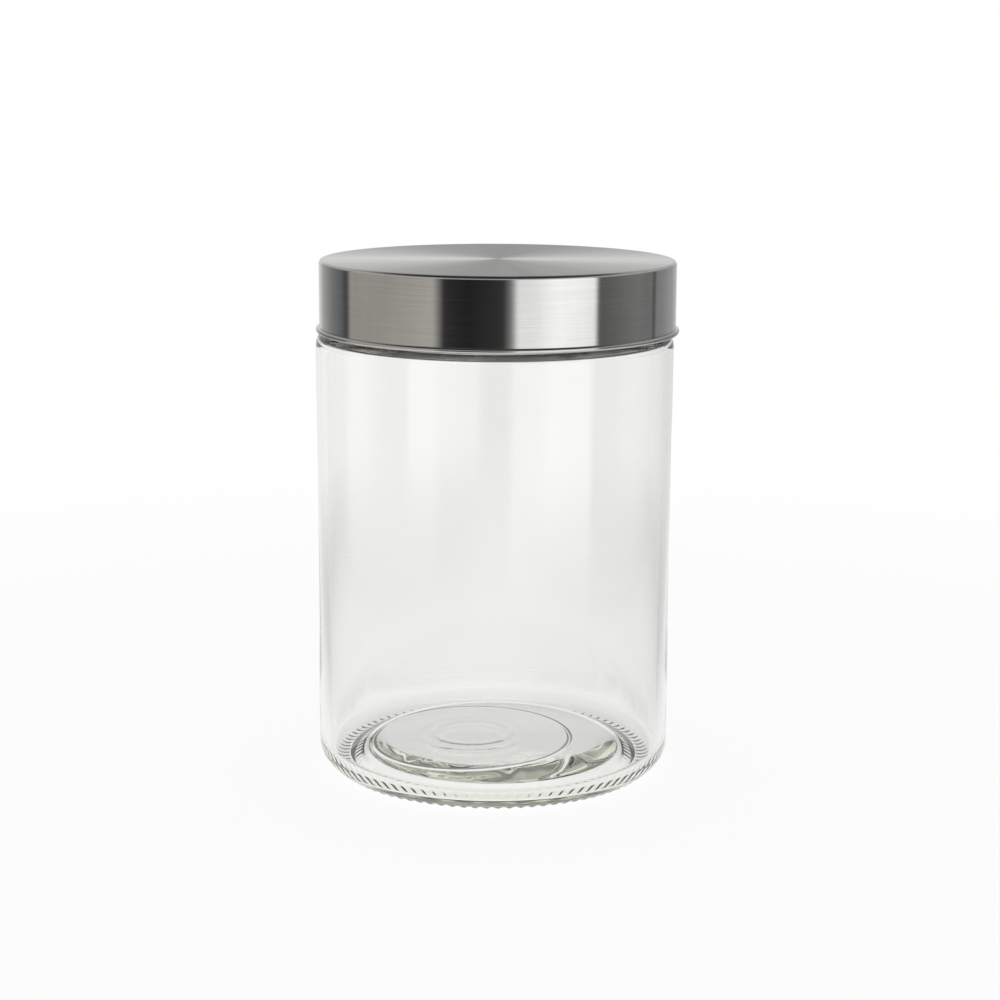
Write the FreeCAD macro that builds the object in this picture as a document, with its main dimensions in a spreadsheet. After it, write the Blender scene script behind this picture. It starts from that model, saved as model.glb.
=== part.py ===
"""Glass storage jar with a push-on steel lid.

A straight-sided soda-lime jar stands on a knurled bearing ring. A loose cap of thin sheet steel
rests on its rim. Z points up, the origin is the centre of the base, and lengths are millimetres.
"""
import FreeCAD, Part
import math
import os
import Sketcher

OUTPUT_FOLDER = "parts"
FULL_TURN = 360.0
MATCH = 0.001

# Each size that can be set by itself: alias, value, meaning.
DRIVING = [
    ("jar_radius", 55.3, "outside radius of the two contact bands"),
    ("jar_height", 160.0, "height of the rim above the table"),
    ("jar_wall", 3.2, "thickness of the body wall at the bands"),
    ("panel_recess", 0.2, "how far the label panel lies inside the bands"),
    ("low_band", 33.0, "height of the lower band's top edge"),
    ("high_band", 16.3, "height of the upper band"),
    ("panel_taper", 15.0, "height over which a band runs out into the panel"),
    ("neck_wall", 3.7, "thickness of the neck"),
    ("neck_height", 23.7, "from the shoulder's corner to the rim"),
    ("foot_cover", 0.3, "how far the lid's lower edge hangs below the neck's foot"),
    ("shoulder_ease", 3.04, "rounding of the shoulder for each millimetre that it rises"),
    ("neck_root_round", 0.8, "rounding between shoulder and neck"),
    ("throat_rise", 2.0, "height of the inner slope from body to neck"),
    ("throat_drop", 1.0, "how far that slope starts below the shoulder's corner"),
    ("throat_round", 1.5, "rounding of the inner slope"),
    ("rim_round", 1.2, "rounding of the rim's edges"),
    ("heel_round", 8.0, "rounding between body and bearing ring"),
    ("bearing_land", 2.3, "width of the flat part of the bearing ring"),
    ("bearing_round", 2.0, "rounding of the bearing ring's inner edge"),
    ("push_up", 4.2, "height of the hollow under the floor"),
    ("push_up_run", 5.0, "width of the slope into that hollow"),
    ("push_up_round", 4.0, "rounding at the top of that slope"),
    ("floor_height", 8.4, "height of the floor at the edge of its middle"),
    ("floor_rise", 1.0, "how much higher the floor is at its centre"),
    ("floor_run", 16.1, "width of the slope from the floor's middle to the wall"),
    ("floor_fall", 6.4, "how far that slope falls over this width"),
    ("floor_ease", 20.0, "rounding at the top of that slope"),
    ("floor_round", 5.0, "rounding between that slope and the wall"),
    ("ring_offset", 6.6, "how far the mould ring lies off the axis"),
    ("ring_margin", 2.4, "from the mould ring to the edge of the hollow"),
    ("ring_bar", 0.8, "radius of the mould ring's round section"),
    ("ring_depth", 0.35, "depth of the mould ring"),
    ("rib_pitch", 3.33, "distance from rib to rib round the bearing ring"),
    ("rib_lead", 0.4, "from the heel's lowest line out to a rib's lowest point"),
    ("rib_tuck", 2.8, "how much tighter than the heel a rib is curved"),
    ("rib_swell", 1.2, "radius of a rib's round section"),
    ("rib_sweep", 124.0, "angle that a rib sweeps, in degrees"),
    ("rib_drop", 0.5, "how far the ribs stand below the bearing ring"),
    ("lid_inset", 0.3, "how far the lid's side lies inside the bands"),
    ("lid_sheet", 0.5, "thickness of the lid's steel"),
    ("lid_edge_round", 1.2, "rounding of the lid's top edge"),
    ("lid_gap", 2.0, "from the shoulder's corner up to the lid's lower edge"),
    ("bead_round", 0.8, "radius of the lid's rolled lower edge"),
    ("bead_stand", 1.05, "how far the rolled edge stands out from the lid's side"),
    ("neck_clearance", 0.9, "play between neck and lid all round"),
    ("lean_gap", 0.05, "play left on the side where the lid leans"),
]

# Sizes and places that follow from those: alias, formula.
DERIVED = [
    ("panel_radius", "=jar_radius - panel_recess"),
    ("bore_radius", "=jar_radius - jar_wall"),
    ("lid_radius", "=jar_radius - lid_inset"),
    ("lid_bore", "=lid_radius - lid_sheet"),
    ("neck_radius", "=lid_bore - neck_clearance"),
    ("mouth_radius", "=neck_radius - neck_wall"),
    ("shoulder_height", "=jar_height - neck_height"),
    ("shoulder_rise", "=lid_gap + foot_cover"),
    ("shoulder_round", "=shoulder_rise * shoulder_ease"),
    ("neck_foot", "=shoulder_height + shoulder_rise"),
    ("panel_low", "=low_band + panel_taper"),
    ("band_foot", "=shoulder_height - high_band"),
    ("panel_high", "=band_foot - panel_taper"),
    ("throat_foot", "=shoulder_height - throat_drop"),
    ("throat_top", "=throat_foot + throat_rise"),
    ("land_radius", "=jar_radius - heel_round"),
    ("bearing_radius", "=land_radius - bearing_land"),
    ("hollow_radius", "=bearing_radius - push_up_run"),
    ("floor_centre", "=floor_height + floor_rise"),
    ("middle_radius", "=bore_radius - floor_run"),
    ("gutter_height", "=floor_height - floor_fall"),
    ("ring_radius", "=hollow_radius - ring_margin - ring_offset"),
    ("ring_reach", "=ring_radius - ring_offset"),
    ("ring_level", "=push_up + ring_depth - ring_bar"),
    ("rib_radius", "=land_radius + rib_lead"),
    ("rib_bend", "=heel_round - rib_tuck"),
    ("rib_count", "=round(2 * pi * rib_radius / rib_pitch)"),
    ("lid_skirt", "=neck_height - lid_gap"),
    ("bead_drop", "=lid_skirt - bead_round"),
    ("bead_centre", "=lid_radius + bead_stand - bead_round"),
    ("bead_reach", "=max(0; lid_bore - bead_centre + bead_round)"),
    ("lid_shift", "=neck_clearance - bead_reach - lean_gap"),
]

ORIGIN = (-1, 1)
VERTICAL_AXIS = -2
START = 1
END = 2
CENTRE = 3


def make_sheet(doc):
    """Write every size into the sheet, with its alias and its meaning."""
    sheet = doc.addObject("Spreadsheet::Sheet", "Sizes")
    row = 1
    for alias, value, meaning in DRIVING:
        sheet.set(f"A{row}", alias)
        sheet.set(f"B{row}", str(value))
        sheet.set(f"C{row}", meaning)
        sheet.setAlias(f"B{row}", alias)
        row += 1
    for alias, formula in DERIVED:
        sheet.set(f"A{row}", alias)
        sheet.set(f"B{row}", formula)
        sheet.setAlias(f"B{row}", alias)
        row += 1
    doc.recompute()
    return sheet


def size(sheet, alias):
    """Return a size from the sheet as a plain number."""
    value = getattr(sheet, alias)
    return float(getattr(value, "Value", value))


def origin_plane(body, role):
    """Return the plane of the body's own origin that has this role."""
    for feature in body.Origin.OriginFeatures:
        if feature.Role == role:
            return feature
    raise RuntimeError(f"{body.Name} has no {role}")


def new_body(doc, label):
    """Add a body whose label names its file."""
    body = doc.addObject("PartDesign::Body", label)
    body.Label = label
    return body


def new_sketch(body, name):
    """Add a sketch on the upright XZ plane: its X is the radius and its Y the height."""
    sketch = body.newObject("Sketcher::SketchObject", name)
    sketch.AttachmentSupport = [(origin_plane(body, "XZ_Plane"), "")]
    sketch.MapMode = "FlatFace"
    return sketch


def bind(sketch, kind, first, second, sheet, alias):
    """Add a distance between two sketch points and bind it to a cell of the sheet."""
    value = abs(size(sheet, alias))
    index = sketch.addConstraint(Sketcher.Constraint(kind, *first, *second, value))
    sketch.setExpression(f"Constraints[{index}]", f"Sizes.{alias}")
    return index


def place_point(sketch, point, sheet, across, upward):
    """Fix a sketch point by its radius and its height, or on the axis when across is None."""
    if across is None:
        sketch.addConstraint(Sketcher.Constraint("PointOnObject", *point, VERTICAL_AXIS))
    else:
        bind(sketch, "DistanceX", ORIGIN, point, sheet, across)
    if upward is not None:
        bind(sketch, "DistanceY", ORIGIN, point, sheet, upward)


def spot(sheet, corner, downward=False):
    """Return the sketch position of a corner that is named by two aliases."""
    across, upward = corner
    x = 0.0 if across is None else size(sheet, across)
    y = 0.0 if upward is None else size(sheet, upward)
    return FreeCAD.Vector(x, -y if downward else y, 0)


def arc_about_axis(start, end):
    """Return a crown from start to end, level where it meets the axis at its end."""
    rise = end.y - start.y
    radius = (start.x ** 2 + rise ** 2) / (2 * rise)
    centre = FreeCAD.Vector(0, end.y - radius, 0)
    circle = Part.Circle(centre, FreeCAD.Vector(0, 0, 1), radius)
    first_angle = math.atan2(start.y - centre.y, start.x)
    return Part.ArcOfCircle(circle, first_angle, math.pi / 2)


def draw_outline(sketch, sheet, corners, crown_edge=None):
    """Draw a closed outline through the corners and fix every corner to the sheet.

    The edge with the number crown_edge becomes an arc whose centre is on the axis.
    """
    points = [spot(sheet, corner) for corner in corners]
    count = len(points)
    for index in range(count):
        start, end = points[index], points[(index + 1) % count]
        if index == crown_edge:
            sketch.addGeometry(arc_about_axis(start, end), False)
        else:
            sketch.addGeometry(Part.LineSegment(start, end), False)
    for index in range(count):
        after = (index + 1) % count
        sketch.addConstraint(Sketcher.Constraint("Coincident", index, END, after, START))
    if crown_edge is not None:
        centre = (crown_edge, CENTRE)
        sketch.addConstraint(Sketcher.Constraint("PointOnObject", *centre, VERTICAL_AXIS))
    for index, (across, upward) in enumerate(corners):
        place_point(sketch, (index, START), sheet, across, upward)


def revolve(body, name, sketch, axis="V_Axis", kind="PartDesign::Revolution"):
    """Turn a sketch once round one of its own axes."""
    feature = body.newObject(kind, name)
    feature.Profile = sketch
    feature.ReferenceAxis = (sketch, [axis])
    feature.Angle = FULL_TURN
    return feature


def ring_edge(shape, radius, height):
    """Return the name of the shape's round edge with this radius and height."""
    for index, edge in enumerate(shape.Edges, start=1):
        if edge.Degenerated or not isinstance(edge.Curve, Part.Circle):
            continue
        curve = edge.Curve
        same_radius = abs(curve.Radius - radius) < MATCH
        same_height = abs(curve.Center.z - height) < MATCH
        if same_radius and same_height:
            return f"Edge{index}"
    raise RuntimeError(f"no round edge of radius {radius} at height {height}")


def round_edges(body, name, before, sheet, corners, amount):
    """Round the ring edges at these corners by an amount, which is a formula in cells."""
    body.Document.recompute()
    names = []
    for across, upward in corners:
        height = 0.0 if upward is None else size(sheet, upward)
        names.append(ring_edge(before.Shape, size(sheet, across), height))
    fillet = body.newObject("PartDesign::Fillet", name)
    fillet.Base = (before, names)
    fillet.setExpression("Radius", amount)
    return fillet


def add_mould_ring(body, sheet):
    """Press the off-centre ring of the mould into the hollow's ceiling."""
    sketch = new_sketch(body, "MouldRingSketch")
    centre = FreeCAD.Vector(size(sheet, "ring_reach"), size(sheet, "ring_level"), 0)
    bar = Part.Circle(centre, FreeCAD.Vector(0, 0, 1), size(sheet, "ring_bar"))
    sketch.addGeometry(bar, False)
    axis_foot = FreeCAD.Vector(-size(sheet, "ring_offset"), 0, 0)
    axis_top = FreeCAD.Vector(axis_foot.x, size(sheet, "push_up"), 0)
    sketch.addGeometry(Part.LineSegment(axis_foot, axis_top), True)
    place_point(sketch, (0, CENTRE), sheet, "ring_reach", "ring_level")
    radius = sketch.addConstraint(Sketcher.Constraint("Radius", 0, size(sheet, "ring_bar")))
    sketch.setExpression(f"Constraints[{radius}]", "Sizes.ring_bar")
    bind(sketch, "DistanceX", (1, START), ORIGIN, sheet, "ring_offset")
    sketch.addConstraint(Sketcher.Constraint("PointOnObject", 1, START, -1))
    sketch.addConstraint(Sketcher.Constraint("Vertical", 1))
    bind(sketch, "DistanceY", (1, START), (1, END), sheet, "push_up")
    return revolve(body, "MouldRing", sketch, "Axis0", "PartDesign::Groove")


def add_ribs(body, sheet, profile):
    """Set the short radial ribs that the jar stands on, evenly round the bearing ring.

    A rib is a round bar bent tighter than the heel, so that both its ends run into the glass.
    """
    sketch = body.newObject("Sketcher::SketchObject", "RibSketch")
    sketch.AttachmentSupport = [(origin_plane(body, "YZ_Plane"), "")]
    sketch.MapMode = "FlatFace"
    sketch.setExpression("AttachmentOffset.Base.z", "Sizes.rib_radius")
    bar = Part.Circle(
        FreeCAD.Vector(0, size(sheet, "rib_swell"), 0),
        FreeCAD.Vector(0, 0, 1),
        size(sheet, "rib_swell"),
    )
    sketch.addGeometry(bar, False)
    axis_start = FreeCAD.Vector(0, size(sheet, "rib_bend"), 0)
    axis_end = axis_start + FreeCAD.Vector(size(sheet, "rib_swell"), 0, 0)
    sketch.addGeometry(Part.LineSegment(axis_start, axis_end), True)
    radius = sketch.addConstraint(Sketcher.Constraint("Radius", 0, size(sheet, "rib_swell")))
    sketch.setExpression(f"Constraints[{radius}]", "Sizes.rib_swell")
    place_point(sketch, (0, CENTRE), sheet, None, "rib_swell")
    place_point(sketch, (1, START), sheet, None, "rib_bend")
    sketch.addConstraint(Sketcher.Constraint("Horizontal", 1))
    bind(sketch, "DistanceX", (1, START), (1, END), sheet, "rib_swell")
    rib = revolve(body, "Rib", sketch, "Axis0")
    rib.Midplane = True
    rib.setExpression("Angle", "Sizes.rib_sweep")
    body.Document.recompute()
    pattern = body.newObject("PartDesign::PolarPattern", "Ribs")
    pattern.Originals = [rib]
    pattern.Axis = (profile, ["V_Axis"])
    pattern.Angle = FULL_TURN
    pattern.setExpression("Occurrences", "Sizes.rib_count")
    body.Tip = pattern
    return pattern


def make_jar(doc, sheet):
    """Blow the jar: body, shoulder, neck, rim, floor, hollow, mould ring and ribs."""
    body = new_body(doc, "glass_jar")
    profile = new_sketch(body, "JarSketch")
    corners = [
        (None, "push_up"),
        ("hollow_radius", "push_up"),
        ("bearing_radius", "rib_drop"),
        ("jar_radius", "rib_drop"),
        ("jar_radius", "low_band"),
        ("panel_radius", "panel_low"),
        ("panel_radius", "panel_high"),
        ("jar_radius", "band_foot"),
        ("jar_radius", "shoulder_height"),
        ("neck_radius", "neck_foot"),
        ("neck_radius", "jar_height"),
        ("mouth_radius", "jar_height"),
        ("mouth_radius", "throat_top"),
        ("bore_radius", "throat_foot"),
        ("bore_radius", "gutter_height"),
        ("middle_radius", "floor_height"),
        (None, "floor_centre"),
    ]
    draw_outline(profile, sheet, corners, crown_edge=15)
    shape = revolve(body, "JarBlank", profile)
    roundings = [
        ("Heel", corners[3:4], "Sizes.heel_round"),
        ("BearingEdge", corners[2:3], "Sizes.bearing_round"),
        ("HollowEdge", corners[1:2], "Sizes.push_up_round"),
        ("FloorEdge", corners[14:15], "Sizes.floor_round"),
        ("FloorMiddle", corners[15:16], "Sizes.floor_ease"),
        ("Shoulder", corners[8:9], "Sizes.shoulder_round"),
        ("NeckRoot", corners[9:10], "Sizes.neck_root_round"),
        ("Rim", corners[10:12], "min(Sizes.rim_round; Sizes.neck_wall * 0.4)"),
        ("Throat", corners[12:14], "Sizes.throat_round"),
    ]
    for name, where, amount in roundings:
        shape = round_edges(body, name, shape, sheet, where, amount)
    doc.recompute()
    smooth_volume = shape.Shape.Volume
    ring = add_mould_ring(body, sheet)
    doc.recompute()
    if not ring.Shape.Volume < smooth_volume:
        raise RuntimeError("the mould ring cuts nothing")
    ribs = add_ribs(body, sheet, profile)
    doc.recompute()
    if not ribs.Shape.Volume > ring.Shape.Volume:
        raise RuntimeError("the ribs add nothing")
    return body


def make_lid(doc, sheet):
    """Draw the cap from sheet: a flat top, a straight side and a rolled lower edge.

    Its own origin is the centre of the plate's underside, which rests on the rim.
    """
    body = new_body(doc, "steel_lid")
    profile = new_sketch(body, "LidSketch")
    top, underside, foot = "lid_sheet", None, "bead_drop"
    corners = [
        (None, top),
        ("lid_radius", top),
        ("lid_radius", foot),
        ("lid_bore", foot),
        ("lid_bore", underside),
        (None, underside),
    ]
    draw_lid_outline(profile, sheet, corners)
    shell = revolve(body, "LidShell", profile)
    edge = round_edges(body, "TopEdge", shell, sheet, corners[1:2], "Sizes.lid_edge_round")
    inner_amount = "max(Sizes.lid_edge_round - Sizes.lid_sheet; Sizes.lid_sheet * 0.5)"
    round_edges(body, "TopEdgeInside", edge, sheet, corners[4:5], inner_amount)
    roll = new_sketch(body, "BeadSketch")
    centre = FreeCAD.Vector(size(sheet, "bead_centre"), -size(sheet, "bead_drop"), 0)
    section = Part.Circle(centre, FreeCAD.Vector(0, 0, 1), size(sheet, "bead_round"))
    roll.addGeometry(section, False)
    bind(roll, "DistanceX", ORIGIN, (0, CENTRE), sheet, "bead_centre")
    bind(roll, "DistanceY", (0, CENTRE), ORIGIN, sheet, "bead_drop")
    radius = roll.addConstraint(Sketcher.Constraint("Radius", 0, size(sheet, "bead_round")))
    roll.setExpression(f"Constraints[{radius}]", "Sizes.bead_round")
    body.Tip = revolve(body, "Bead", roll)
    body.setExpression("Placement.Base.x", "Sizes.lid_shift")
    body.setExpression("Placement.Base.z", "Sizes.jar_height")
    return body


def draw_lid_outline(sketch, sheet, corners):
    """Draw the lid's section: corners named bead_drop lie below the plate's underside."""
    below = [corner[1] == "bead_drop" for corner in corners]
    points = [spot(sheet, corner, low) for corner, low in zip(corners, below)]
    count = len(points)
    for index in range(count):
        line = Part.LineSegment(points[index], points[(index + 1) % count])
        sketch.addGeometry(line, False)
    for index in range(count):
        after = (index + 1) % count
        sketch.addConstraint(Sketcher.Constraint("Coincident", index, END, after, START))
    for index, (across, upward) in enumerate(corners):
        point = (index, START)
        if below[index]:
            bind(sketch, "DistanceX", ORIGIN, point, sheet, across)
            bind(sketch, "DistanceY", point, ORIGIN, sheet, upward)
        elif upward is None and across is None:
            sketch.addConstraint(Sketcher.Constraint("Coincident", *point, *ORIGIN))
        elif upward is None:
            bind(sketch, "DistanceX", ORIGIN, point, sheet, across)
            sketch.addConstraint(Sketcher.Constraint("PointOnObject", *point, -1))
        else:
            place_point(sketch, point, sheet, across, upward)


def check(doc, bodies):
    """Stop when any object of the document failed or any body is not one valid solid."""
    for item in doc.Objects:
        if "Invalid" in item.State or "Error" in item.State:
            raise RuntimeError(f"{item.Name} failed: {item.State}")
    for body in bodies:
        shape = body.Shape
        if shape.isNull() or not shape.isValid() or len(shape.Solids) != 1:
            raise RuntimeError(f"{body.Label} is not one valid solid")


def main():
    """Build the document, check it and write each body to its own file."""
    doc = FreeCAD.newDocument("StorageJar")
    sheet = make_sheet(doc)
    bodies = [make_jar(doc, sheet), make_lid(doc, sheet)]
    doc.recompute()
    check(doc, bodies)
    os.makedirs(OUTPUT_FOLDER, exist_ok=True)
    for body in bodies:
        body.Shape.exportStep(os.path.join(OUTPUT_FOLDER, body.Label + ".step"))
        box = body.Shape.optimalBoundingBox()
        heights = f"from {box.ZMin:.3f} to {box.ZMax:.3f}"
        print(body.Label, "volume", round(body.Shape.Volume), heights)


main()
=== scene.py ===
"""A glass storage jar with a brushed steel cap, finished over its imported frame."""
import math

import bpy
from mathutils import Matrix, Vector


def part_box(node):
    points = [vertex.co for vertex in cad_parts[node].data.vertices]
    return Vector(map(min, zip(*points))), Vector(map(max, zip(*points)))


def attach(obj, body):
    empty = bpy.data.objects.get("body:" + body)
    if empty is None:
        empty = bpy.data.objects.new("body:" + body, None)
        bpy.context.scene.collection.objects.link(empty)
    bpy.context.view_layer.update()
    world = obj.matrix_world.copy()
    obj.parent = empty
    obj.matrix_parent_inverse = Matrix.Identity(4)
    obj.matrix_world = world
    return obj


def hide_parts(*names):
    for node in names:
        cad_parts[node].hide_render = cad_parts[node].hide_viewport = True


bl_info = {
    "name": "Glass Storage Jar",
    "version": (1, 0, 0),
    "blender": (4, 5, 0),
    "location": "View3D > Sidebar > Storage Jar",
    "description": "Blows the glass jar, spins its steel cap and sets up the studio",
    "category": "Object",
}

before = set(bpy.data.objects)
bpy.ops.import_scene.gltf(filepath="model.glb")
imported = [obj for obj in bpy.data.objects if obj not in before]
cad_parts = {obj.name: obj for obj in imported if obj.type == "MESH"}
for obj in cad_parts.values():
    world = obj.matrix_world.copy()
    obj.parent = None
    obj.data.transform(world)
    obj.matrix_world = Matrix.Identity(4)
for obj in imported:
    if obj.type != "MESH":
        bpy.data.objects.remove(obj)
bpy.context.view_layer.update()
JAR_LOW, JAR_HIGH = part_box("glass_jar")
LID_LOW, LID_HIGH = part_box("steel_lid")
LID_MIDDLE = ((LID_LOW.x + LID_HIGH.x) / 2, 0.0, 0.0)
MM = 0.001
WELD = 1e-7

# Rings of the sections between their corners, in millimetres. They keep long faces short.
CEILING_RINGS = (0.0, 10.0, 22.0)
GROOVE_VERGE = 1.1
GROOVE_RINGS = (-0.66, -0.5, -0.25, 0.0, 0.25, 0.5, 0.66)
GROOVE_REACH = 33.0
GROOVE_BELOW = 5.0
LAND_RING = 46.4
LOW_BAND_RINGS = (14.0, 24.0)
PANEL_RING = 76.0
NECK_RING = 148.0
BORE_RINGS = (118.0, 105.0, 90.0, 75.0, 60.0, 45.0, 30.0, 20.0)
FLOOR_RINGS = (31.0, 24.0, 16.0, 8.0, 0.0)
CAP_TOP_RINGS = (6.0, 16.0, 28.0, 40.0, 50.0, 53.0)
CAP_SIDE_RINGS = (4.0, 12.0)
CAP_UNDER_RING = 30.0
ROLL_STEPS = 26

# Stops of the glass's ramps. The places of the masks are heights or radii in metres.
FLOOR_WAVE_REACH = 0.03
FLOOR_WAVES = ((0.0, 0.0), (0.32, 0.0), (0.41, 1.0), (0.48, 0.1), (0.57, 0.6), (0.66, 0.0))
FLOOR_HEIGHTS = ((0.0, 0.0), (0.0058, 0.0), (0.0062, 1.0), (0.0105, 1.0), (0.011, 0.0))
# Painted shade on the glass's foot: low down and outside the bearing ring, the heel and knurls
# take the darker foot shade tint.
FOOT_SHADE_HEIGHTS = ((0.0, 1.0), (0.0032, 1.0), (0.0042, 0.0))
FOOT_SHADE_RADII = ((0.0452, 0.0), (0.0462, 1.0))
CLEARNESS_BY_HEIGHT = ((0.0, 1.0), (0.0098, 1.0), (0.0125, 0.965))
SHADOW_BY_FACING = (
    (0.0, (0.95, 0.96, 0.94)),
    (0.6, (0.86, 0.87, 0.84)),
    (1.0, (0.2, 0.21, 0.18)),
)

# Stops of the steel's ramps. Heights are in metres above the cap's lower edge.
STREAK_GREYS = ((0.35, 0.87), (0.65, 1.0))
SPOKE_GREYS = ((0.3, 0.88), (0.7, 1.0))
# Painted shade on the rolled lower edge: a little darker on its lower half, darker on its upper
# half and darkest in the crease just above it.
ROLL_SHADE_HEIGHTS = (
    (0.0002, 0.85),
    (0.0009, 0.75),
    (0.0013, 0.5),
    (0.0016, 0.25),
    (0.0019, 0.25),
    (0.0022, 1.0),
)
# Painted shade on the roll where it turns away from the view; from these heights up, the side
# above the roll is left out.
SIDE_HEIGHTS = ((0.0016, 0.0), (0.0019, 1.0))
ROLL_SHADE_GRAZING = ((0.5, 1.0), (0.8, 0.25))
TOP_STARTS = 0.0005
TOP_ENDS = 0.0001

# Brightness of the studio's walls by azimuth, in degrees to the right of the camera.
STUDIO_WALLS = (
    (-180.0, 0.9),
    (-158.0, 0.72),
    (-150.0, 0.52),
    (-131.0, 0.27),
    (-117.0, (0.16, 0.165, 0.18)),
    (-114.0, 0.1),
    (-110.5, 0.1),
    (-107.0, (0.48, 0.465, 0.425)),
    (-70.0, (0.5, 0.48, 0.445)),
    (-41.0, (0.58, 0.56, 0.52)),
    (-34.0, 0.04),
    (-18.0, 0.02),
    (4.0, 0.045),
    (9.0, 0.3),
    (13.0, 1.2),
    (36.0, 1.55),
    (64.0, 1.4),
    (66.5, 0.15),
    (100.0, 0.27),
    (116.0, 0.25),
    (117.5, 0.1),
    (119.0, 0.1),
    (121.0, (0.3, 0.3, 0.32)),
    (150.0, 0.45),
    (163.0, 0.58),
    (172.0, 0.76),
    (180.0, 0.88),
)
# Brightness overhead and how the walls run into it. A place of 0.5 is level, 1.0 straight up.
CEILING_FADE = ((0.57, 0.0), (0.75, 1.0))
CEILING = ((0.7, 0.66), (0.82, 0.5), (0.9, 0.03))
CEILING_FADE_THROUGH_GLASS = ((0.52, 0.0), (0.57, 1.0))
CEILING_THROUGH_GLASS = ((0.55, 0.1), (0.66, 0.17), (0.7, 0.5), (0.76, 0.5), (0.8, 0.1))
# The pale sweep behind the glass: where it starts, and its brightness from left to right.
SWEEP_FADE = ((0.4, 0.0), (0.65, 1.0))
SWEEP = ((0.42, 1.06), (0.6, 0.97), (0.7, 0.86))

# The floor: how bright it is through the glass, by the distance aside in metres, and on the
# right, where places are shifted by half a metre.
FLOOR_FLANKS = ((0.0, 0.97), (0.064, 0.97), (0.084, 0.88), (0.12, 0.6))
FLOOR_FLARE = -0.09
FLOOR_RIGHT = ((0.5, 1.0), (0.55, 0.96), (0.6, 0.9))
FLOOR_RIGHT_SHIFT = 0.5
SHADOW_FROM = 0.044
SHADOW_TO = 0.062
FLOOR_FADES_FROM = 0.2
WHITE = (1.0, 1.0, 1.0, 1.0)


def length(name, description, default):
    """Return a property for a length, kept in metres."""
    return bpy.props.FloatProperty(
        name=name,
        description=description,
        default=default,
        precision=5,
        subtype="DISTANCE",
        unit="LENGTH",
    )


def amount(name, description, default, highest=10.0):
    """Return a property for a plain number from 0 up."""
    return bpy.props.FloatProperty(
        name=name, description=description, default=default, min=0.0, max=highest
    )


def angle(name, description, default):
    """Return a property for an angle."""
    return bpy.props.FloatProperty(
        name=name, description=description, default=default, subtype="ANGLE"
    )


def count(name, description, default, lowest):
    """Return a property for a whole number."""
    return bpy.props.IntProperty(
        name=name, description=description, default=default, min=lowest
    )


def place(name, description, default):
    """Return a property for a place in the room."""
    return bpy.props.FloatVectorProperty(
        name=name, description=description, default=default, size=3, subtype="TRANSLATION"
    )


def colour(name, description, default):
    """Return a property for a colour."""
    return bpy.props.FloatVectorProperty(
        name=name,
        description=description,
        default=default,
        size=3,
        min=0.0,
        max=1.0,
        subtype="COLOR",
    )


class JarSizes(bpy.types.PropertyGroup):
    """Sizes of the glass."""

    radius: length("Radius", "Outside of the two contact bands", JAR_HIGH.x)
    height: length("Height", "Height of the rim", JAR_HIGH.z)
    panel_radius: length("Panel radius", "Outside of the label panel", 0.0551)
    neck_radius: length("Neck radius", "Outside of the neck", 0.0536)
    mouth_radius: length("Mouth radius", "Inside of the neck", 0.0499)
    bore_radius: length("Bore radius", "Inside of the body", 0.0521)
    low_band: length("Lower band", "Height of the lower band's top edge", 0.033)
    panel_low: length("Panel foot", "Height where the panel starts", 0.048)
    panel_high: length("Panel top", "Height where the panel ends", 0.105)
    band_foot: length("Upper band", "Height of the upper band's lower edge", 0.12)
    shoulder_height: length("Shoulder", "Height of the shoulder's corner", 0.1363)
    shoulder_round: length("Shoulder rounding", "Rounding of that corner", 0.007)
    neck_foot: length("Neck foot", "Height where the neck starts", 0.1386)
    neck_root_round: length("Neck rounding", "Rounding at the neck's foot", 0.0008)
    rim_round: length("Rim rounding", "Rounding of the rim's edges", 0.0012)
    throat_top: length("Throat top", "Top of the slope inside the neck", 0.1373)
    throat_foot: length("Throat foot", "Foot of that slope", 0.1353)
    throat_round: length("Throat rounding", "Rounding of that slope", 0.0015)
    heel_round: length("Heel rounding", "Rounding from wall to bearing ring", 0.008)
    bearing_rise: length("Bearing rise", "Bearing ring above the table", 0.0005)
    bearing_radius: length("Bearing radius", "Inner edge of the bearing ring", 0.045)
    bearing_round: length("Bearing rounding", "Rounding of that edge", 0.002)
    hollow_radius: length("Hollow radius", "Edge of the hollow underneath", 0.04)
    hollow_height: length("Hollow height", "Height of the hollow", 0.0042)
    hollow_round: length("Hollow rounding", "Rounding of its edge", 0.004)
    gutter_height: length("Gutter height", "Floor's height at the wall", 0.002)
    floor_round: length("Floor rounding", "Rounding from floor to wall", 0.005)
    middle_radius: length("Middle radius", "Edge of the floor's middle", 0.036)
    floor_height: length("Floor height", "Floor's height at that edge", 0.0084)
    floor_rise: length("Floor rise", "Further rise to the centre", 0.001)
    floor_ease: length("Floor ease", "Rounding of that edge", 0.02)
    ring_radius: length("Ring radius", "Radius of the mould ring", 0.031)
    ring_bar: length("Ring bar", "Radius of its round section", 0.0008)
    ring_depth: length("Ring depth", "Depth of the mould ring", 0.00035)
    ring_offset: length("Ring offset", "How far it lies off the axis", 0.0066)
    rib_count: count("Ribs", "Knurls round the foot", 90, 3)
    rib_radius: length("Rib circle", "Circle of the ribs' lowest points", 0.0477)
    rib_bend: length("Rib bend", "Radius to which a rib is bent", 0.0052)
    rib_swell: length("Rib swell", "Radius of a rib's round section", 0.0012)
    rib_width: length("Rib half width", "From a rib's crest to its edge", 0.0016)
    sectors: count("Sectors", "Faces round the axis", 720, 24)


class LidSizes(bpy.types.PropertyGroup):
    """Sizes of the steel cap."""

    radius: length("Radius", "Outside of the straight side", 0.055)
    sheet: length("Sheet", "Thickness of the steel", 0.0005)
    edge_round: length("Edge rounding", "Rounding of the top edge", 0.0012)
    bead_round: length("Bead", "Radius of the rolled lower edge", 0.0008)
    bead_radius: length("Bead circle", "Radius of the roll's middle line", 0.05525)
    sectors: count("Sectors", "Faces round the axis", 360, 24)


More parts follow.
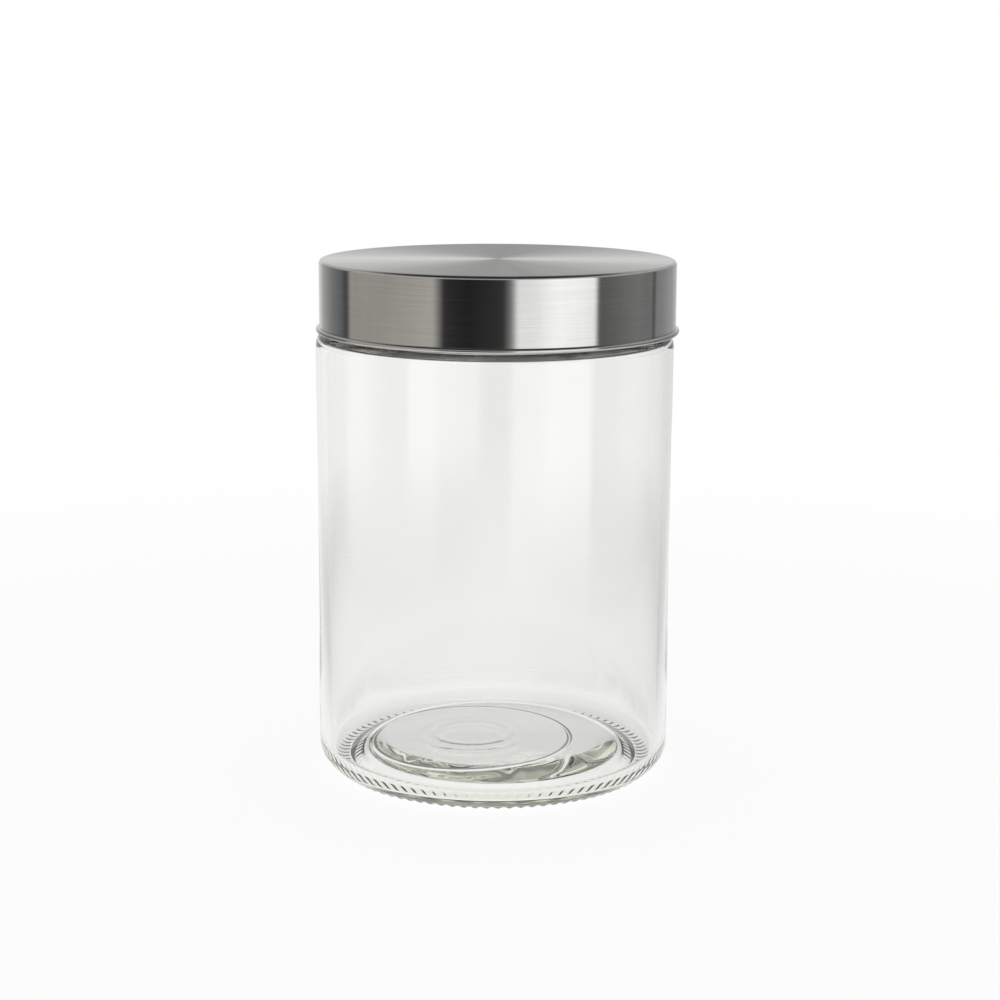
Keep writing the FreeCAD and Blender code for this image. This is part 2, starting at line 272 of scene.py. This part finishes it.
class Finishes(bpy.types.PropertyGroup):
    """Colours and textures of glass and steel, and the tint of the painted shade on the glass's
    foot.
    """

    glass_tint: colour("Glass tint", "Colour left by 1 cm of glass", (0.945, 0.95, 0.89))
    glass_density: amount("Glass density", "Strength of the tint", 34.0, 200.0)
    glass_ripple: amount("Glass ripple", "Height of the blown ripple, in mm", 0.02)
    floor_ripple: amount("Floor ripple", "Height of the floor's rings, in mm", 0.15)
    # Painted shade: the darker olive laid on the glass at its heel and knurls, where it meets
    # the table.
    foot_shade_tint: colour("Foot tint", "Colour of the glass at the foot", (0.7, 0.71, 0.63))
    steel_tint: colour("Steel tint", "Colour of bare steel", (0.63, 0.627, 0.615))
    brush_depth: amount("Brush depth", "Strength of the brushing", 0.12)


class StudioSettings(bpy.types.PropertyGroup):
    """Camera, lamp and floor."""

    camera_place: place("Camera", "Where the camera stands", (0.00184, -0.680, 0.223))
    camera_pitch: angle("Pitch", "Tilt below level", 0.2005)
    camera_roll: angle("Roll", "Turn about its own axis", 0.0051)
    lens: amount("Lens", "Focal length in mm, on a 36 mm frame", 79.49, 500.0)
    lamp_place: place("Lamp place", "Where the lamp hangs", (0.0, 0.1, 1.6))
    lamp_size: length("Lamp size", "Side of the square lamp", 1.2)
    lamp_power: amount("Lamp", "Power of the lamp above, in watts", 12.0, 500.0)
    floor_radius: length("Floor radius", "Radius of the pale floor", 0.6)


def start_wire(name):
    """Add a piece that is one vertex on the axis, left in edit mode."""
    bpy.ops.object.select_all(action="DESELECT")
    bpy.ops.mesh.primitive_plane_add(size=MM)
    piece = bpy.context.object
    piece.name = name
    piece.data.name = name
    bpy.ops.object.mode_set(mode="EDIT")
    bpy.ops.mesh.select_all(action="SELECT")
    bpy.ops.mesh.merge(type="CENTER")
    return piece


def plain(across, up):
    """Return a section corner that stays sharp."""
    return (across, up, 0.0, 0)


def rounded(corners):
    """Return a section's points. A corner is its radius, height, rounding and steps."""
    points = []
    for index, (across, up, radius, steps) in enumerate(corners):
        here = Vector((across, up))
        if radius <= 0.0:
            points.append(here)
            continue
        back = (Vector(corners[index - 1][:2]) - here).normalized()
        ahead = (Vector(corners[index + 1][:2]) - here).normalized()
        half = back.angle(ahead) / 2
        centre = here + (back + ahead).normalized() * (radius / math.sin(half))
        spoke = here + back * (radius / math.tan(half)) - centre
        last = here + ahead * (radius / math.tan(half)) - centre
        turn = math.atan2(spoke.cross(last), spoke.dot(last))
        for step in range(steps + 1):
            points.append(centre + Matrix.Rotation(turn * step / steps, 2) @ spoke)
    return points


def turn_section(points, sectors):
    """Draw a section with the single vertex at hand, then spin it once round the axis."""
    bpy.ops.transform.translate(value=(points[0].x, 0.0, points[0].y))
    here = points[0]
    for point in points[1:]:
        step = (point.x - here.x, 0.0, point.y - here.y)
        bpy.ops.mesh.extrude_region_move(TRANSFORM_OT_translate={"value": step})
        here = point
    bpy.ops.object.mode_set(mode="OBJECT")
    lathe = bpy.context.object.modifiers.new("Lathe", "SCREW")
    lathe.angle = math.tau
    lathe.steps = lathe.render_steps = sectors
    lathe.use_merge_vertices = True
    lathe.merge_threshold = WELD
    bpy.ops.object.modifier_apply(modifier=lathe.name)
    bpy.ops.object.mode_set(mode="EDIT")
    bpy.ops.mesh.select_all(action="SELECT")
    bpy.ops.mesh.remove_doubles(threshold=WELD)
    bpy.ops.mesh.normals_make_consistent(inside=False)


def select_where(mesh, test):
    """Select the vertices whose place passes a test, and leave edit mode on."""
    bpy.ops.mesh.select_all(action="DESELECT")
    bpy.ops.object.mode_set(mode="OBJECT")
    for vertex in mesh.vertices:
        vertex.select = test(vertex.co)
    bpy.ops.object.mode_set(mode="EDIT")
    bpy.ops.mesh.select_mode(type="VERT")


def smooth(piece):
    """Shade a piece smoothly, with large faces leading the small ones."""
    bpy.ops.object.mode_set(mode="OBJECT")
    bpy.ops.object.shade_smooth()
    weighted = piece.modifiers.new("Weighted normals", "WEIGHTED_NORMAL")
    weighted.weight = 50
    bpy.ops.object.modifier_apply(modifier=weighted.name)


def groove_outline(sizes):
    """Return the section of the mould ring in the hollow's ceiling."""
    ceiling, bar = sizes.hollow_height, sizes.ring_bar
    pit = ceiling + sizes.ring_depth - bar
    corners = [plain(sizes.ring_radius - GROOVE_VERGE * MM, ceiling)]
    for aside in GROOVE_RINGS:
        depth = math.sqrt(bar**2 - (aside * MM) ** 2)
        corners.append(plain(sizes.ring_radius + aside * MM, max(ceiling, pit + depth)))
    corners.append(plain(sizes.ring_radius + GROOVE_VERGE * MM, ceiling))
    return corners


def jar_outline(sizes):
    """Return the glass's section, from under its middle round the wall to the floor."""
    ceiling, foot = sizes.hollow_height, sizes.bearing_rise
    radius, panel, neck = sizes.radius, sizes.panel_radius, sizes.neck_radius
    mouth, bore = sizes.mouth_radius, sizes.bore_radius
    middle, rise = sizes.middle_radius, sizes.floor_rise
    corners = [plain(across * MM, ceiling) for across in CEILING_RINGS]
    corners += groove_outline(sizes)
    corners += [
        (sizes.hollow_radius, ceiling, sizes.hollow_round, 6),
        (sizes.bearing_radius, foot, sizes.bearing_round, 5),
        plain(LAND_RING * MM, foot),
        (radius, foot, sizes.heel_round, 22),
    ]
    corners += [plain(radius, up * MM) for up in LOW_BAND_RINGS]
    corners += [
        plain(radius, sizes.low_band),
        plain(panel, sizes.panel_low),
        plain(panel, PANEL_RING * MM),
        plain(panel, sizes.panel_high),
        plain(radius, sizes.band_foot),
        (radius, sizes.shoulder_height, sizes.shoulder_round, 9),
        (neck, sizes.neck_foot, sizes.neck_root_round, 4),
        plain(neck, NECK_RING * MM),
        (neck, sizes.height, sizes.rim_round, 6),
        (mouth, sizes.height, sizes.rim_round, 6),
        plain(mouth, NECK_RING * MM),
        (mouth, sizes.throat_top, sizes.throat_round, 6),
        (bore, sizes.throat_foot, sizes.throat_round, 6),
    ]
    corners += [plain(bore, up * MM) for up in BORE_RINGS]
    corners.append((bore, sizes.gutter_height, sizes.floor_round, 14))
    corners.append((middle, sizes.floor_height, sizes.floor_ease, 6))
    crown = (middle**2 + rise**2) / (2 * rise)
    for across in FLOOR_RINGS:
        drop = crown - math.sqrt(crown**2 - (across * MM) ** 2)
        corners.append(plain(across * MM, sizes.floor_height + rise - drop))
    return rounded(corners)


def raise_ribs(mesh, sizes):
    """Lift the foot's skin onto the bent round bars that are its knurls."""
    pitch = math.tau / sizes.rib_count
    line = sizes.rib_bend - sizes.rib_swell
    for vertex in mesh.vertices:
        x, y, z = vertex.co
        if z >= sizes.rib_bend:
            continue
        across = math.hypot(x, y)
        turn = math.atan2(y, x)
        aside = across * math.sin(turn - round(turn / pitch) * pitch)
        if abs(aside) >= sizes.rib_width:
            continue
        spoke = Vector((across - sizes.rib_radius, z - sizes.rib_bend))
        outside = across > sizes.rib_radius - sizes.rib_bend
        if outside and line < spoke.length < sizes.rib_bend:
            share = 0.5 + 0.5 * math.cos(math.pi * aside / sizes.rib_width)
            spoke *= 1.0 + share * (sizes.rib_bend / spoke.length - 1.0)
            scale = (sizes.rib_radius + spoke.x) / across
            vertex.co = (x * scale, y * scale, sizes.rib_bend + spoke.y)


def lid_outline(sizes):
    """Return the cap's section, from the top's centre round the rolled edge and back."""
    high = LID_HIGH.z
    under = high - sizes.sheet
    bore = sizes.radius - sizes.sheet
    roll = Vector((sizes.bead_radius, LID_LOW.z + sizes.bead_round))
    corners = [plain(0.0, high)]
    corners += [plain(across * MM, high) for across in CAP_TOP_RINGS]
    corners.append((sizes.radius, high, sizes.edge_round, 8))
    corners += [plain(sizes.radius, high - down * MM) for down in CAP_SIDE_RINGS]
    start = math.acos((sizes.radius - roll.x) / sizes.bead_round)
    end = math.acos((bore - roll.x) / sizes.bead_round) - math.tau
    for step in range(ROLL_STEPS + 1):
        turn = start + (end - start) * step / ROLL_STEPS
        point = roll + Vector((math.cos(turn), math.sin(turn))) * sizes.bead_round
        corners.append(plain(point.x, point.y))
    corners.append(plain(bore, high - CAP_SIDE_RINGS[-1] * MM))
    corners.append((bore, under, sizes.edge_round - sizes.sheet, 4))
    corners.append(plain(CAP_UNDER_RING * MM, under))
    corners.append(plain(0.0, under))
    return rounded(corners)


class Tree:
    """A node tree that is built line by line."""

    def __init__(self, owner):
        owner.use_nodes = True
        self.nodes = owner.node_tree.nodes
        self.links = owner.node_tree.links
        self.nodes.clear()

    def add(self, kind, settings=None, **values):
        """Add a node, with its settings and the values or links of its inputs."""
        node = self.nodes.new(kind)
        for key, value in (settings or {}).items():
            setattr(node, key, value)
        for key, value in values.items():
            self.feed(node, key.replace("_", " "), value)
        return node

    def feed(self, node, key, value):
        """Set an input, named or numbered as in0, to a value or another node's output."""
        numbered = key.startswith("in") and key[2:].isdigit()
        socket = node.inputs[int(key[2:])] if numbered else node.inputs[key]
        if isinstance(value, bpy.types.NodeSocket):
            self.links.new(value, socket)
        else:
            socket.default_value = value

    def math(self, operation, first, second=0.0, third=0.0):
        """Add a Math node and return its output."""
        settings = {"operation": operation}
        return self.add("ShaderNodeMath", settings, in0=first, in1=second, in2=third).outputs[0]

    def vector(self, operation, first, second=(0.0, 0.0, 0.0)):
        """Add a Vector Math node and return its vector, or its value where it is a length."""
        settings = {"operation": operation}
        node = self.add("ShaderNodeVectorMath", settings, in0=first, in1=second)
        return node.outputs["Value" if operation == "LENGTH" else "Vector"]

    def split(self, spot):
        """Return a spot's height and the level vector from the axis to it."""
        parts = self.add("ShaderNodeSeparateXYZ", Vector=spot).outputs
        level = self.add("ShaderNodeCombineXYZ", X=parts["X"], Y=parts["Y"]).outputs[0]
        return parts["Z"], level

    def ramp(self, factor, stops, interpolation="LINEAR"):
        """Add a Color Ramp with grey or coloured stops and return its colour."""
        node = self.add("ShaderNodeValToRGB", Fac=factor)
        node.color_ramp.interpolation = interpolation
        elements = node.color_ramp.elements
        while len(elements) > 1:
            elements.remove(elements[-1])
        for index, (where, value) in enumerate(stops):
            element = elements[0] if index == 0 else elements.new(where)
            element.position = where
            shade = (value, value, value) if isinstance(value, float) else value
            element.color = (*shade, 1.0)
        return node.outputs["Color"]

    def mix(self, share, first, second, blend="MIX"):
        """Mix two colours, each a link or a value, and return the result."""
        settings = {"data_type": "RGBA", "blend_type": blend}
        node = self.add("ShaderNodeMix", settings, in0=share, in6=first, in7=second)
        return node.outputs[2]

    def blend(self, share, first, second):
        """Go from one number to another by a share."""
        step = self.math("SUBTRACT", second, first)
        return self.math("MULTIPLY_ADD", step, share, first)

    def half_up(self, number):
        """Turn a number from -1 to 1 into one from 0 to 1."""
        return self.math("MULTIPLY_ADD", number, 0.5, 0.5)

    def span(self, value, start, end, first, last, interpolation="LINEAR"):
        """Run from the first number to the last while a value runs from start to end."""
        return self.add(
            "ShaderNodeMapRange",
            {"interpolation_type": interpolation},
            Value=value,
            From_Min=start,
            From_Max=end,
            To_Min=first,
            To_Max=last,
        ).outputs[0]

    def bump(self, height, strength, distance, **values):
        """Add a Bump node and return its normal."""
        return self.add(
            "ShaderNodeBump", Height=height, Strength=strength, Distance=distance, **values
        ).outputs[0]


def glass_material(finish, sizes):
    """Clear soda-lime glass with a faint olive edge, the slow ripple of a blown wall and painted
    shade on its foot.
    """
    material = bpy.data.materials.new("clear_glass")
    tree = Tree(material)
    spot = tree.add("ShaderNodeTexCoord").outputs["Object"]
    drawn = tree.add("ShaderNodeMapping", Vector=spot, Scale=(1.0, 1.0, 0.35)).outputs[0]
    ripple = tree.add(
        "ShaderNodeTexNoise", Vector=drawn, Scale=45.0, Detail=1.5, Roughness=0.4
    ).outputs["Fac"]
    normal = tree.bump(ripple, 1.0, finish.glass_ripple * MM)
    from_ring = tree.vector("ADD", spot, (sizes.ring_offset, 0.0, 0.0))
    height, level = tree.split(from_ring)
    across = tree.vector("LENGTH", level)
    waves = tree.ramp(
        tree.math("MULTIPLY", across, 1.0 / FLOOR_WAVE_REACH), FLOOR_WAVES, "EASE"
    )
    waves = tree.math("MULTIPLY", waves, tree.ramp(height, FLOOR_HEIGHTS))
    normal = tree.bump(waves, 1.0, finish.floor_ripple * MM, Normal=normal)
    height, level = tree.split(spot)
    # Painted shade: the heel and knurls are darkened towards the foot shade tint.
    low = tree.ramp(height, FOOT_SHADE_HEIGHTS)
    outer = tree.ramp(tree.vector("LENGTH", level), FOOT_SHADE_RADII)
    foot = tree.math("MULTIPLY", low, outer)
    clearness = tree.ramp(height, CLEARNESS_BY_HEIGHT)
    glass = tree.add(
        "ShaderNodeBsdfPrincipled",
        Base_Color=tree.mix(foot, clearness, (*finish.foot_shade_tint, 1.0)),
        Roughness=0.0,
        IOR=1.51,
        Transmission_Weight=1.0,
        Normal=normal,
    )
    ray = tree.add("ShaderNodeLightPath").outputs
    passing = tree.math("MAXIMUM", ray["Is Shadow Ray"], ray["Is Diffuse Ray"])
    facing = tree.add("ShaderNodeLayerWeight", Blend=0.5).outputs["Facing"]
    clear = tree.add("ShaderNodeBsdfTransparent", Color=tree.ramp(facing, SHADOW_BY_FACING))
    mixed = tree.add(
        "ShaderNodeMixShader", in0=passing, in1=glass.outputs[0], in2=clear.outputs[0]
    )
    depth = tree.add(
        "ShaderNodeVolumeAbsorption",
        Color=(*finish.glass_tint, 1.0),
        Density=finish.glass_density,
    )
    tree.add("ShaderNodeOutputMaterial", Surface=mixed.outputs[0], Volume=depth.outputs[0])
    return material


def ring_noise(tree, outward, along, slow, fine, detail):
    """Return noise that is slow round the axis and fine along the section."""
    parts = tree.add("ShaderNodeSeparateXYZ", Vector=outward).outputs
    vector = tree.add(
        "ShaderNodeCombineXYZ",
        X=tree.math("MULTIPLY", parts["X"], slow),
        Y=tree.math("MULTIPLY", parts["Y"], slow),
        Z=tree.math("MULTIPLY", along, fine),
    ).outputs[0]
    return tree.add("ShaderNodeTexNoise", Vector=vector, Scale=1.0, Detail=detail).outputs["Fac"]


def above_edge(stops):
    """Turn heights above the cap's lower edge into heights above the table."""
    return [(LID_LOW.z + up, value) for up, value in stops]


def steel_material(finish):
    """Steel sheet brushed round and round, with finer and coarser streaks and painted shade on
    its rolled lower edge.
    """
    material = bpy.data.materials.new("brushed_steel")
    tree = Tree(material)
    spot = tree.add("ShaderNodeTexCoord").outputs["Object"]
    height, level = tree.split(tree.vector("SUBTRACT", spot, LID_MIDDLE))
    across = tree.vector("LENGTH", level)
    outward = tree.vector("NORMALIZE", level)
    along = tree.math("SUBTRACT", across, height)
    fine = ring_noise(tree, outward, along, slow=3.0, fine=9000.0, detail=2.0)
    coarse = ring_noise(tree, outward, along, slow=1.2, fine=2600.0, detail=3.0)
    spokes = ring_noise(tree, outward, along, slow=7.0, fine=20.0, detail=3.0)
    streaks = tree.math("MULTIPLY_ADD", fine, 0.6, tree.math("MULTIPLY", coarse, 0.4))
    grey = tree.ramp(streaks, STREAK_GREYS)
    # Painted shade on the rolled edge and in the crease above it, multiplied into the brushed
    # grey.
    grey = tree.math("MULTIPLY", grey, tree.ramp(height, above_edge(ROLL_SHADE_HEIGHTS)))
    # Painted shade: the roll is darker where it turns away from the view.
    facing = tree.add("ShaderNodeLayerWeight", Blend=0.5).outputs["Facing"]
    rolled = tree.ramp(facing, ROLL_SHADE_GRAZING)
    side = tree.ramp(height, above_edge(SIDE_HEIGHTS))
    grey = tree.math("MULTIPLY", grey, tree.math("MAXIMUM", rolled, side))
    grey = tree.math("MULTIPLY", grey, tree.ramp(spokes, SPOKE_GREYS))
    rough = tree.span(streaks, 0.3, 0.7, 0.09, 0.13)
    top = tree.span(height, LID_HIGH.z - TOP_STARTS, LID_HIGH.z - TOP_ENDS, 0.0, 0.2)
    tangent = tree.add("ShaderNodeTangent", {"direction_type": "RADIAL", "axis": "Z"})
    steel = tree.add(
        "ShaderNodeBsdfPrincipled",
        Base_Color=tree.mix(1.0, (*finish.steel_tint, 1.0), grey, "MULTIPLY"),
        Metallic=1.0,
        Roughness=tree.math("ADD", rough, top),
        Anisotropic=0.9,
        Anisotropic_Rotation=0.25,
        Normal=tree.bump(streaks, finish.brush_depth, 0.05 * MM),
        Tangent=tangent.outputs[0],
    )
    tree.add("ShaderNodeOutputMaterial", Surface=steel.outputs[0])
    return material


def dress(piece, material, node):
    """Give a finished piece its material and its place in the frame."""
    piece.data.materials.clear()
    piece.data.materials.append(material)
    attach(piece, "root")
    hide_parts(node)


class JAR_OT_glass(bpy.types.Operator):
    """Blow the jar: draw its section, spin it, set the mould ring aside and raise the ribs"""

    bl_idname = "storage_jar.glass"
    bl_label = "Blow the glass"

    def execute(self, context):
        sizes = context.scene.jar_sizes
        piece = start_wire("jar_glass")
        turn_section(jar_outline(sizes), sizes.sectors)
        reach, top = GROOVE_REACH * MM, GROOVE_BELOW * MM
        select_where(piece.data, lambda co: co.z < top and math.hypot(co.x, co.y) < reach)
        bpy.ops.transform.translate(value=(-sizes.ring_offset, 0.0, 0.0))
        bpy.ops.object.mode_set(mode="OBJECT")
        raise_ribs(piece.data, sizes)
        smooth(piece)
        material = glass_material(context.scene.jar_finishes, sizes)
        dress(piece, material, "glass_jar")
        return {"FINISHED"}


class JAR_OT_lid(bpy.types.Operator):
    """Spin the cap from sheet: flat top, straight side and rolled lower edge"""

    bl_idname = "storage_jar.lid"
    bl_label = "Spin the steel cap"

    def execute(self, context):
        sizes = context.scene.lid_sizes
        piece = start_wire("lid_steel")
        turn_section(lid_outline(sizes), sizes.sectors)
        bpy.ops.transform.translate(value=LID_MIDDLE)
        smooth(piece)
        material = steel_material(context.scene.jar_finishes)
        dress(piece, material, "steel_lid")
        return {"FINISHED"}


def studio_world():
    """Soft boxes and dark flags all round, and plain white behind everything seen directly."""
    world = bpy.data.worlds.new("studio")
    bpy.context.scene.world = world
    tree = Tree(world)
    way = tree.add("ShaderNodeTexCoord").outputs["Generated"]
    parts = tree.add("ShaderNodeSeparateXYZ", Vector=way).outputs
    ray = tree.add("ShaderNodeLightPath").outputs
    through = ray["Is Transmission Ray"]
    turn = tree.math("ARCTAN2", parts["X"], tree.math("MULTIPLY", parts["Y"], -1.0))
    share = tree.math("MULTIPLY_ADD", turn, 1.0 / math.tau, 0.5)
    walls = tree.ramp(share, [(degrees / 360.0 + 0.5, value) for degrees, value in STUDIO_WALLS])
    behind = tree.ramp(tree.half_up(parts["Y"]), SWEEP_FADE)
    behind = tree.math("MULTIPLY", behind, through)
    around = tree.mix(behind, walls, tree.ramp(tree.half_up(parts["X"]), SWEEP))
    height = tree.half_up(parts["Z"])
    fade = tree.blend(
        through,
        tree.ramp(height, CEILING_FADE),
        tree.ramp(height, CEILING_FADE_THROUGH_GLASS),
    )
    ceiling = tree.blend(
        through, tree.ramp(height, CEILING), tree.ramp(height, CEILING_THROUGH_GLASS)
    )
    dome = tree.mix(fade, around, ceiling)
    seen = tree.mix(ray["Is Camera Ray"], dome, WHITE)
    light = tree.add("ShaderNodeBackground", Color=seen, Strength=1.0)
    tree.add("ShaderNodeOutputWorld", Surface=light.outputs[0])


def floor_material(settings):
    """A pale sweep that reads white and keeps a soft shadow; clear when seen from below."""
    material = bpy.data.materials.new("pale_floor")
    tree = Tree(material)
    ray = tree.add("ShaderNodeLightPath").outputs
    seen = tree.math("MAXIMUM", ray["Is Camera Ray"], ray["Is Glossy Ray"])
    seen = tree.math("MAXIMUM", seen, ray["Is Transmission Ray"])
    spot = tree.add("ShaderNodeTexCoord").outputs["Object"]
    away = tree.vector("LENGTH", spot)
    foot = tree.span(away, SHADOW_FROM, SHADOW_TO, 1.0, 0.93, "SMOOTHSTEP")
    matt = tree.add("ShaderNodeBsdfDiffuse", Color=(0.86, 0.86, 0.86, 1.0))
    parts = tree.add("ShaderNodeSeparateXYZ", Vector=spot).outputs
    sideways = tree.math("ABSOLUTE", parts["X"])
    aside = tree.math("MULTIPLY_ADD", parts["Y"], FLOOR_FLARE, sideways)
    right = tree.ramp(tree.math("ADD", parts["X"], FLOOR_RIGHT_SHIFT), FLOOR_RIGHT)
    flank = tree.math("MULTIPLY", tree.ramp(aside, FLOOR_FLANKS), right)
    level = tree.blend(ray["Is Transmission Ray"], 1.0, flank)
    white = tree.add("ShaderNodeEmission", Color=WHITE, Strength=level)
    top = tree.add(
        "ShaderNodeMixShader",
        in0=tree.math("MULTIPLY", seen, foot),
        in1=matt.outputs[0],
        in2=white.outputs[0],
    )
    clear = tree.add("ShaderNodeBsdfTransparent")
    fade = tree.span(away, FLOOR_FADES_FROM, settings.floor_radius, 0.0, 1.0, "SMOOTHSTEP")
    below = tree.add("ShaderNodeNewGeometry").outputs["Backfacing"]
    mixed = tree.add(
        "ShaderNodeMixShader",
        in0=tree.math("MAXIMUM", fade, below),
        in1=top.outputs[0],
        in2=clear.outputs[0],
    )
    tree.add("ShaderNodeOutputMaterial", Surface=mixed.outputs[0])
    return material


def lay_floor(settings):
    """Lay the pale floor a hair below the table's plane."""
    bpy.ops.object.select_all(action="DESELECT")
    bpy.ops.mesh.primitive_circle_add(
        vertices=96,
        radius=settings.floor_radius,
        fill_type="NGON",
        location=(0.0, 0.0, -0.02 * MM),
    )
    floor = bpy.context.object
    floor.name = "floor"
    floor.data.materials.append(floor_material(settings))


def hang_lamp(settings):
    """Hang the soft square lamp, which metal doesn't mirror."""
    bpy.ops.object.select_all(action="DESELECT")
    bpy.ops.object.light_add(type="AREA", location=settings.lamp_place)
    lamp = bpy.context.object
    lamp.name = "lamp_above"
    lamp.data.shape = "SQUARE"
    lamp.data.size = settings.lamp_size
    lamp.data.energy = settings.lamp_power
    lamp.visible_glossy = False


def place_camera(settings):
    """Place the camera, tilted down and a little rolled."""
    bpy.ops.object.camera_add(location=settings.camera_place)
    camera = bpy.context.object
    camera.name = "camera"
    pitch = Matrix.Rotation(math.pi / 2 - settings.camera_pitch, 3, "X")
    roll = Matrix.Rotation(settings.camera_roll, 3, "Z")
    camera.rotation_euler = (pitch @ roll).to_euler()
    camera.data.sensor_width = 36.0
    camera.data.lens = settings.lens
    camera.data.clip_start = 0.01
    camera.data.clip_end = 100.0
    bpy.context.scene.camera = camera


class JAR_OT_stage(bpy.types.Operator):
    """Lay the pale floor, hang the lamp, place the camera and light the studio"""

    bl_idname = "storage_jar.stage"
    bl_label = "Set up the studio"

    def execute(self, context):
        scene = context.scene
        settings = scene.studio_settings
        lay_floor(settings)
        hang_lamp(settings)
        place_camera(settings)
        studio_world()
        scene.view_settings.view_transform = "Standard"
        scene.cycles.max_bounces = 24
        scene.cycles.transmission_bounces = 24
        scene.cycles.glossy_bounces = 12
        scene.cycles.transparent_max_bounces = 24
        return {"FINISHED"}


class JAR_PT_panel(bpy.types.Panel):
    """Buttons that make the jar, its cap and the studio"""

    bl_label = "Storage Jar"
    bl_space_type = "VIEW_3D"
    bl_region_type = "UI"
    bl_category = "Storage Jar"

    def draw(self, context):
        for operator in OPERATORS:
            self.layout.operator(operator.bl_idname)


GROUPS = {
    "jar_sizes": JarSizes,
    "lid_sizes": LidSizes,
    "jar_finishes": Finishes,
    "studio_settings": StudioSettings,
}
OPERATORS = (JAR_OT_glass, JAR_OT_lid, JAR_OT_stage)


def register():
    """Add the sizes to the scene, then the operators and the panel."""
    for name, group in GROUPS.items():
        bpy.utils.register_class(group)
        setattr(bpy.types.Scene, name, bpy.props.PointerProperty(type=group))
    for operator in OPERATORS:
        bpy.utils.register_class(operator)
    bpy.utils.register_class(JAR_PT_panel)


def unregister():
    """Take everything out again."""
    bpy.utils.unregister_class(JAR_PT_panel)
    for operator in reversed(OPERATORS):
        bpy.utils.unregister_class(operator)
    for name, group in reversed(GROUPS.items()):
        delattr(bpy.types.Scene, name)
        bpy.utils.unregister_class(group)


def main():
    """Make the jar, its cap and the studio."""
    register()
    bpy.ops.storage_jar.glass()
    bpy.ops.storage_jar.lid()
    bpy.ops.storage_jar.stage()


if __name__ == "__main__":
    main()
